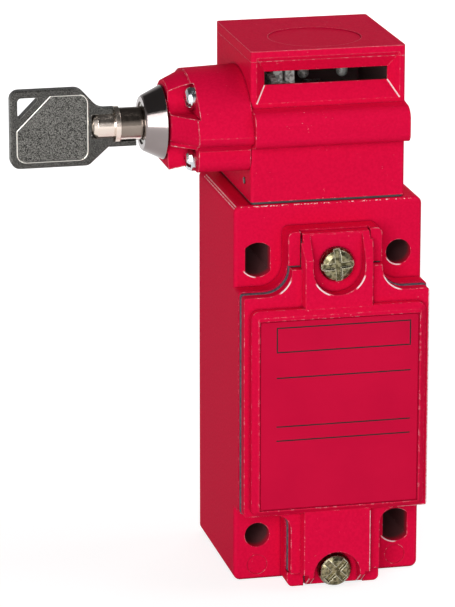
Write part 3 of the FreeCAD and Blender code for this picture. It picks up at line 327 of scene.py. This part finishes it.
def head_glints_and_shade(tree, colour):
    """The head's room is left as cast without enamel and darkened with painted shade; painted highlights lie
    on the funnel's lower corners.
    """
    for side in (-1, 1):
        inner = (side * FUNNEL_INNER_X, *FUNNEL_INNER)
        outer = (side * FUNNEL_OUTER_X, *FUNNEL_OUTER)
        colour = mixed(tree, near_line(tree, inner, outer, FUNNEL_REACH), colour, GLINT)
    return mixed(tree, inside_box(tree, *HEAD_ROOM), colour, HEAD_BARE_AND_SHADE)


# Body: painted highlights on the rounded upper left edge, the upper front edge and the hole rims, and painted
# shade inside the fixing holes
LEFT_REACH, LEFT_FRONT_Y, LEFT_BACK_Y = 0.15, -32.6, -4.0
LEFT_LINES = (dict(x=-19.40, z=41.20, least=0.4), dict(x=-19.74, z=40.84, least=0.2))
TOP_REACH, TOP_HALF, TOP_Y, TOP_Z = 0.17, 18.5, -33.17, 41.27
HOLE_X, HOLE_Z, HOLE_R = 15.0, 30.0, 3.75
HOLE_PAINTED_Y, HOLE_DEEPEST_Y = FACE_SLACK - BODY_FACE, -30.5
HOLE_BARE_AND_SHADE = (0.10, 0.065, 0.065)
HOLE_RIM = dict(reach=0.17, face=BODY_FACE - FACE_SLACK)
ROUND_RIM_R, SLOT_RIM_R = 2.78, 3.76
HOLE_ARCS = (
    dict(HOLE_RIM, centre=(HOLE_X, HOLE_Z), radius=ROUND_RIM_R, first=-160.0, last=-75.0),
    dict(HOLE_RIM, centre=(-HOLE_X, HOLE_Z), radius=SLOT_RIM_R, first=-145.0, last=-95.0),
    dict(HOLE_RIM, centre=(HOLE_X, -HOLE_Z), radius=SLOT_RIM_R, first=-145.0, last=-85.0),
)


def hole_share(tree):
    """0 on the paint and at the mouth of the four fixing holes, 0.9 deep inside them."""
    places = axes(tree)
    squares = []
    for axis, place in (("X", HOLE_X), ("Z", HOLE_Z)):
        offset = math_node(tree, "SUBTRACT", math_node(tree, "ABSOLUTE", places[axis]), place * MM)
        squares.append(product(tree, offset, offset))
    near = math_node(tree, "LESS_THAN", math_node(tree, "ADD", *squares), (HOLE_R * MM) ** 2)
    deep = math_node(tree, "SUBTRACT", places["Y"], HOLE_PAINTED_Y * MM)
    deep = math_node(tree, "DIVIDE", deep, (HOLE_DEEPEST_Y - HOLE_PAINTED_Y) * MM)
    return product(tree, near, ramp(tree, deep, 0.0, 0.9, start=0.0, end=1.0))


def body_glints_and_shade(tree, colour):
    """Painted highlights lie on the upper edges and hole rims; inside the fixing holes the paint thins out
    and painted shade darkens them.
    """
    dotted = noise(tree, GLINT_GRAIN)
    for line in LEFT_LINES:
        front = (line["x"], LEFT_FRONT_Y, line["z"])
        back = (line["x"], LEFT_BACK_Y, line["z"])
        strength = ramp(tree, dotted, line["least"], 0.9, start=0.46, end=0.58)
        colour = mixed(tree, product(tree, near_line(tree, front, back, LEFT_REACH), strength), colour, GLINT)
    top = near_line(tree, (-TOP_HALF, TOP_Y, TOP_Z), (TOP_HALF, TOP_Y, TOP_Z), TOP_REACH)
    strength = ramp(tree, dotted, 0.0, 0.9, start=0.53, end=0.62)
    colour = mixed(tree, product(tree, top, strength), colour, GLINT)
    for arc in HOLE_ARCS:
        colour = mixed(tree, near_arc(tree, **arc), colour, GLINT)
    return mixed(tree, hole_share(tree), colour, HOLE_BARE_AND_SHADE)


# Key: faces of the bow measured from the lock's axis, and the bright parts of the tube, its shank and a
# painted highlight along it
FIELD_FACE, BORDER_FACE = 1.15, 1.30
BORDER_COLOUR = (0.030, 0.029, 0.028)
SHANK_LEFT, SHANK_RIGHT, SHANK_ROOM = -47.5, -41.4, 4.0
SHANK_BOX = (
    (SHANK_LEFT, LOCK_Y - SHANK_ROOM, LOCK_Z - SHANK_ROOM),
    (SHANK_RIGHT, LOCK_Y + SHANK_ROOM, LOCK_Z + SHANK_ROOM),
)
SHANK_COLOUR = (0.80, 0.69, 0.61)
GLEAM_REACH, GLEAM_RIGHT = 0.6, -35.5
GLEAM_PLACE = (-22.22, 54.36)
GLEAM_COLOUR = (0.95, 0.85, 0.80)


def border_paint(tree, colour):
    """The key's raised border stays darker than its sunk, blasted field."""
    offset = math_node(tree, "SUBTRACT", axes(tree)["Y"], LOCK_Y * MM)
    away = math_node(tree, "ABSOLUTE", offset)
    raised = math_node(tree, "GREATER_THAN", away, (FIELD_FACE + BORDER_FACE) / 2 * MM)
    return mixed(tree, product(tree, raised, 0.5), colour, BORDER_COLOUR)


def tube_paint(tree, colour):
    """The key's shank is brighter than the rest, and a painted highlight lies along its tube."""
    colour = mixed(tree, inside_box(tree, *SHANK_BOX), colour, SHANK_COLOUR)
    gleam = near_line(tree, (SHANK_RIGHT, *GLEAM_PLACE), (GLEAM_RIGHT, *GLEAM_PLACE), GLEAM_REACH)
    return mixed(tree, gleam, colour, GLEAM_COLOUR)


# Materials

# PINK is the colour of rubbed paint along edges and of painted highlights and glints on the red enamel, which
# also takes painted shade in corners
PINK = (0.95, 0.42, 0.48)
RED_GLOSS = (1.0, 0.12, 0.18)
RED_LOOK = dict(low=(0.69, 0.0046, 0.047), high=(0.75, 0.0056, 0.054), rough=(0.42, 0.54), metallic=0.06,
                grain=2600.0, edge=0.30, bump=0.06, tone=1800.0, specular=0.005, tint=RED_GLOSS,
                glint_and_wear_colour=PINK, wear_and_glint_share=0.8, even=0.06, glint_specks=PINK, painted_corner_shade=(0.11, 0.002, 0.010))
enamel = surface("red enamel", **RED_LOOK)
head_enamel = surface("red enamel on the head", painted=head_glints_and_shade, **RED_LOOK)
cover_enamel = surface("red enamel on the cover", painted=cover_painted_glints, **RED_LOOK)
# The lock housing and the lid take more painted highlight along their edges
lock_enamel = surface("red enamel on the lock housing", **dict(RED_LOOK, even=0.12, wear_and_glint_share=1.0, glint_and_wear_colour=GLINT))
lid_enamel = surface("red enamel on the lid", **dict(RED_LOOK, even=0.4))
body_enamel = surface("red enamel on the body", painted=body_glints_and_shade, **RED_LOOK)
film = surface("rating film", low=(0.58, 0.0060, 0.044), high=(0.62, 0.0068, 0.047), rough=(0.42, 0.52),
               metallic=0.06, grain=3500.0, edge=0.06, bump=0.05, depth=0.01, tone=70.0, specular=0.0,
               tint=RED_GLOSS)
ink = surface("printed rule", low=(0.016, 0.010, 0.012), high=(0.030, 0.014, 0.018), rough=(0.45, 0.60),
              grain=4000.0, edge=0.02, specular=0.2, tone=900.0)
rubber = surface("gasket rubber", low=(0.060, 0.072, 0.095), high=(0.160, 0.180, 0.215), rough=(0.6, 0.8),
                 grain=3000.0, bump=0.2, tone=1500.0, specular=0.1)
# Yellow zinc plate: painted highlights on the rims and painted shade in the slots and corners
yellow_zinc = surface("yellow zinc plate", low=(0.075, 0.066, 0.034), high=(0.27, 0.24, 0.14),
                      rough=(0.18, 0.34), metallic=1.0, edge=0.32, tone=1300.0, span=(0.42, 0.58),
                      glint_and_wear_colour=(0.98, 0.93, 0.72), wear_and_glint_share=1.0, even=0.8, shelter=(0.45, 0.65), dull=True,
                      painted_corner_shade=(0.03, 0.018, 0.006))
bright_zinc = surface("bright zinc plate", low=(0.56, 0.58, 0.62), high=(0.78, 0.79, 0.80),
                      rough=(0.12, 0.24), metallic=1.0, tone=600.0, glint_and_wear_colour=(0.95, 0.95, 0.95), wear_and_glint_share=0.6)
chrome = surface("chrome", low=(0.25, 0.215, 0.21), high=(0.31, 0.265, 0.26), rough=(0.05, 0.11),
                 metallic=1.0, grain=900.0, bump=0.03)
lock_metal = surface("satin nickel", low=(0.46, 0.45, 0.42), high=(0.56, 0.54, 0.50), rough=(0.22, 0.36),
                     metallic=1.0, grain=1200.0)
hard_steel = surface("ground steel", low=(0.46, 0.46, 0.47), high=(0.60, 0.60, 0.61), rough=(0.20, 0.36),
                     metallic=1.0, grain=2500.0, stretch=(1, 8, 8))
key_steel = surface("blasted key steel", low=(0.010, 0.010, 0.009), high=(0.215, 0.208, 0.194),
                    rough=(0.38, 0.60), metallic=1.0, grain=4200.0, bump=0.30, depth=0.05, tone=7500.0,
                    span=(0.44, 0.56), edge=0.10, glint_and_wear_colour=(0.60, 0.58, 0.54), wear_and_glint_share=0.9, painted=border_paint)
key_polish = surface("polished key edge", low=(0.74, 0.72, 0.66), high=(0.88, 0.86, 0.80),
                     rough=(0.10, 0.20), metallic=1.0, grain=2000.0)
nickel = surface("bright nickel", low=(0.26, 0.21, 0.18), high=(0.40, 0.34, 0.29), rough=(0.12, 0.24),
                 metallic=1.0, grain=1000.0, bump=0.04, painted=tube_paint)
cast_zinc = surface("cast zinc", low=(0.32, 0.31, 0.29), high=(0.85, 0.85, 0.82), rough=(0.34, 0.52),
                    metallic=0.25, grain=1800.0, bump=0.25, tone=1300.0, span=(0.42, 0.58))
brass = surface("brass", low=(0.60, 0.42, 0.15), high=(0.74, 0.55, 0.24), rough=(0.20, 0.36), metallic=1.0)
pale_plastic = surface("pale moulding", low=(0.70, 0.68, 0.62), high=(0.78, 0.76, 0.70), rough=(0.40, 0.55))
dark_plastic = surface("dark moulding", low=(0.035, 0.035, 0.040), high=(0.055, 0.055, 0.060),
                       rough=(0.35, 0.55))

SLOT_FINISH = {
    "red_enamel": enamel, "gasket_rubber": rubber, "yellow_zinc": yellow_zinc, "bright_zinc": bright_zinc,
    "chrome_trim": chrome, "lock_metal": lock_metal, "hard_steel": hard_steel, "key_steel": key_steel,
    "nickel_plate": nickel, "cast_zinc": cast_zinc, "brass_turned": brass, "pale_plastic": pale_plastic,
    "contact_brass": brass, "spring_wire": bright_zinc, "dark_plastic": dark_plastic,
}
NODE_FINISH = {
    "head_casting": head_enamel, "head_lid": lid_enamel, "front_cover": cover_enamel,
    "lock_housing": lock_enamel, "body_casting": body_enamel, "neck_pin": key_steel,
    "head_gasket": dark_plastic, "stop_pins": cast_zinc, "wheel_cheek": cast_zinc, "bolt_plate": cast_zinc,
}
for part in frame["record"]["subparts"]:
    mesh = nodes[part["node"]].data
    mesh.materials.clear()
    mesh.materials.append(NODE_FINISH.get(part["node"], SLOT_FINISH[part["material_slot"]]))


# Pieces dressed on the solids

def add_piece(name, mesh, material, body):
    piece = bpy.data.objects.new(name, mesh)
    mesh.materials.append(material)
    bpy.context.scene.collection.objects.link(piece)
    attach(piece, body)


def rounded_corners(corners, steps=6):
    """Points of a closed outline with each (u, v, radius) corner rounded."""
    points = []
    for i, (u, v, radius) in enumerate(corners):
        corner = Vector((u, v))
        before = (Vector(corners[i - 1][:2]) - corner).normalized()
        after = (Vector(corners[(i + 1) % len(corners)][:2]) - corner).normalized()
        half = before.angle(after) / 2
        middle = (before + after).normalized()
        centre = corner + middle * radius / math.sin(half)
        start = corner + before * radius / math.tan(half) - centre
        sweep = start.angle_signed(corner + after * radius / math.tan(half) - centre)
        for k in range(steps + 1):
            angle = -sweep * k / steps
            turned = Vector((start.x * math.cos(angle) - start.y * math.sin(angle),
                             start.x * math.sin(angle) + start.y * math.cos(angle)))
            points.append(centre + turned)
    return points


def rectangle(left, right, bottom, top, corner):
    return [(x, z, corner) for x, z in ((left, bottom), (right, bottom), (right, top), (left, top))]


def front_plate(name, corners, y_back, y_front, bevel=0.0):
    """Closed plate in the XZ plane, with bevelled front edges where a bevel is given."""
    work = bmesh.new()
    rim = [work.verts.new((p.x * MM, y_back * MM, p.y * MM)) for p in rounded_corners(corners)]
    base = work.faces.new(rim)
    grown = bmesh.ops.extrude_face_region(work, geom=[base])
    lifted = [v for v in grown["geom"] if isinstance(v, bmesh.types.BMVert)]
    bmesh.ops.translate(work, verts=lifted, vec=(0, (y_front - y_back) * MM, 0))
    if bevel:
        edges = [e for e in work.edges if all(v in lifted for v in e.verts)]
        bmesh.ops.bevel(work, geom=edges, offset=bevel * MM, segments=2, profile=0.5, affect="EDGES")
    bmesh.ops.recalc_face_normals(work, faces=work.faces)
    mesh = bpy.data.meshes.new(name)
    work.to_mesh(mesh)
    work.free()
    return mesh


def bead(name, corners, y, radius):
    """Round bead along a closed outline in the XZ plane."""
    curve = bpy.data.curves.new(name, "CURVE")
    curve.dimensions = "3D"
    curve.bevel_depth = radius * MM
    curve.bevel_resolution = 2
    points = rounded_corners(corners)
    spline = curve.splines.new("POLY")
    spline.points.add(len(points) - 1)
    for place, p in zip(spline.points, points):
        place.co = (p.x * MM, y * MM, p.y * MM, 1)
    spline.use_cyclic_u = True
    return curve


# Bead round the key's sunk field, on both sides
FIELD_LEFT, FIELD_RIGHT, FIELD_HALF = -62.80, -48.05, 6.85
FIELD_LOW, FIELD_HIGH = LOCK_Z - FIELD_HALF, LOCK_Z + FIELD_HALF
FIELD_CUT = 7.05
FIELD_CORNER, FIELD_CUT_CORNER = 1.8, 0.4
BEAD_R, BEAD_OUT = 0.15, 1.22
field = [
    (FIELD_LEFT, FIELD_LOW, FIELD_CORNER),
    (FIELD_RIGHT, FIELD_LOW, FIELD_CORNER),
    (FIELD_RIGHT, FIELD_HIGH, FIELD_CORNER),
    (FIELD_LEFT + FIELD_CUT, FIELD_HIGH, FIELD_CUT_CORNER),
    (FIELD_LEFT, FIELD_HIGH - FIELD_CUT, FIELD_CUT_CORNER),
]
for side, y in (("front", LOCK_Y - BEAD_OUT), ("back", LOCK_Y + BEAD_OUT)):
    name = "key_bead_" + side
    add_piece(name, bead(name, field, y, BEAD_R), key_polish, "key")

# Rating film in the cover's recess, with three printed rules and an empty printed box
RECESS_DEEP, FILM_T = 0.4, 0.2
FILM_HALF, FILM_LOW, FILM_HIGH = 16.7, -20.95, 19.4
FILM_CORNER, FILM_BEVEL = 0.6, 0.08
RULE_LEFT, RULE_RIGHT = -13.4, 15.1
RULE_W, RULE_T, RULE_CORNER = 0.26, 0.02, 0.1
RULE_HEIGHTS = (7.4, -3.1, -6.15)
BOX_LOW, BOX_HIGH = 12.9, 18.1

film_back = RECESS_DEEP - PANEL_FACE
film_face = film_back - FILM_T
film_outline = rectangle(-FILM_HALF, FILM_HALF, FILM_LOW, FILM_HIGH, FILM_CORNER)
film_plate = front_plate("rating_film", film_outline, film_back, film_face, FILM_BEVEL)
add_piece("rating_film", film_plate, film, "housing")


def add_rule(name, left, right, bottom, top):
    outline = rectangle(left, right, bottom, top, RULE_CORNER)
    plate = front_plate(name, outline, film_face, film_face - RULE_T)
    add_piece(name, plate, ink, "housing")


for count, z in enumerate((*RULE_HEIGHTS, BOX_LOW, BOX_HIGH)):
    add_rule("printed_rule_%d" % count, RULE_LEFT, RULE_RIGHT, z - RULE_W / 2, z + RULE_W / 2)
for name, x in (("box_left", RULE_LEFT), ("box_right", RULE_RIGHT - RULE_W)):
    add_rule("printed_" + name, x, x + RULE_W, BOX_LOW + RULE_W / 2, BOX_HIGH - RULE_W / 2)


# Studio, in metres

low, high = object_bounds()
middle = (low + high) / 2


def area_light(name, place, size, power, mirrored=True, scattered=True):
    """Lamp turned to the object's middle; it may be left out of mirror images or of scattered light."""
    lamp = bpy.data.lights.new(name, "AREA")
    lamp.shape = "RECTANGLE"
    lamp.size, lamp.size_y = size
    lamp.energy = power
    holder = bpy.data.objects.new(name, lamp)
    holder.location = place
    holder.rotation_euler = (middle - Vector(place)).to_track_quat("-Z", "Y").to_euler()
    holder.visible_glossy = mirrored
    holder.visible_diffuse = scattered
    bpy.context.scene.collection.objects.link(holder)


area_light("key", place=(-0.402, -0.912, 0.257), size=(0.7, 0.6), power=7.0)
area_light("top", place=(0.55, -0.15, 0.8), size=(0.6, 0.6), power=3.1)
area_light("back", place=(0.40, 0.90, 0.30), size=(0.7, 0.7), power=4.0, mirrored=False)
area_light("fill", place=(-0.9, -0.45, 0.35), size=(0.6, 0.9), power=0.5)
area_light("strip", place=(-0.62, -0.62, 0.46), size=(0.14, 0.75), power=1.2, scattered=False)

# Brightness of the room by the height of a direction, which is 1 straight up
ROOM_LEVEL = 0.6
WALL, CEILING = 1.0, 0.10
WALL_TOP, CEILING_START = 0.20, 0.55


def pale_room():
    """World with pale walls and a dark ceiling."""
    world = bpy.data.worlds.new("studio")
    world.use_nodes = True
    tree = world.node_tree
    room = tree.nodes["Background"]
    height = axes(tree, "Generated")["Z"]
    tree.links.new(ramp(tree, height, WALL, CEILING, WALL_TOP, CEILING_START), room.inputs["Color"])
    room.inputs["Strength"].default_value = ROOM_LEVEL
    return world


# Floor, and its paper: tone as it lights the object and as it is seen, and glow by distance
FLOOR_SIZE, FLOOR_GAP = 6.0, 0.1 * MM
PAPER_LIT, PAPER_SEEN = 0.50, 0.40
GLOW_NEAR, GLOW_FAR = 0.80, 1.0
GLOW_START, GLOW_END = 0.15, 0.60


def white_paper():
    """Matt paper that glows to white where it is seen, itself or in a mirror, and keeps the shadow."""
    mat = bpy.data.materials.new("white paper")
    mat.use_nodes = True
    tree = mat.node_tree
    matt = tree.nodes["Principled BSDF"]
    matt.inputs["Roughness"].default_value = 0.9
    matt.inputs["Specular IOR Level"].default_value = 0.1
    path = tree.nodes.new("ShaderNodeLightPath")
    seen = math_node(tree, "MAXIMUM", path.outputs["Is Camera Ray"], path.outputs["Is Glossy Ray"])
    seen = math_node(tree, "MAXIMUM", seen, path.outputs["Is Transmission Ray"])
    tree.links.new(ramp(tree, seen, PAPER_LIT, PAPER_SEEN, start=0.0, end=1.0), matt.inputs["Base Color"])
    coords = tree.nodes.new("ShaderNodeTexCoord")
    distance = vector_math(tree, "LENGTH", coords.outputs["Object"])
    glow = tree.nodes.new("ShaderNodeEmission")
    glow.inputs["Color"].default_value = (1, 1, 1, 1)
    level = ramp(tree, distance, GLOW_NEAR, GLOW_FAR, GLOW_START, GLOW_END)
    tree.links.new(product(tree, seen, level), glow.inputs["Strength"])
    both = tree.nodes.new("ShaderNodeAddShader")
    tree.links.new(matt.outputs["BSDF"], both.inputs[0])
    tree.links.new(glow.outputs["Emission"], both.inputs[1])
    tree.links.new(both.outputs["Shader"], tree.nodes["Material Output"].inputs["Surface"])
    return mat


bpy.context.scene.world = pale_room()
bpy.ops.mesh.primitive_plane_add(size=FLOOR_SIZE, location=(middle.x, middle.y, low.z - FLOOR_GAP))
floor = bpy.context.object
floor.name = "floor"
floor.data.materials.append(white_paper())


# Camera, in metres and degrees

AZIMUTH = -12.78
ELEVATION = 15.92
DISTANCE = 0.80
AIM = Vector((-0.0188, -0.022, 0.0177))
FOCAL_PX, IMAGE_H = 3815.8, 607

turn = math.radians(AZIMUTH)
tilt = math.radians(ELEVATION)
away = Vector((math.sin(turn) * math.cos(tilt), -math.cos(turn) * math.cos(tilt), math.sin(tilt)))
lens = bpy.data.cameras.new("camera")
lens.sensor_fit = "VERTICAL"
lens.sensor_height = 36.0
lens.lens = FOCAL_PX / IMAGE_H * lens.sensor_height
lens.clip_start = 0.01
camera = bpy.data.objects.new("camera", lens)
camera.location = AIM + away * DISTANCE
camera.rotation_mode = "QUATERNION"
camera.rotation_quaternion = (-away).to_track_quat("-Z", "Y")
bpy.context.scene.collection.objects.link(camera)
bpy.context.scene.camera = camera
bpy.context.scene.view_settings.view_transform = "Standard"
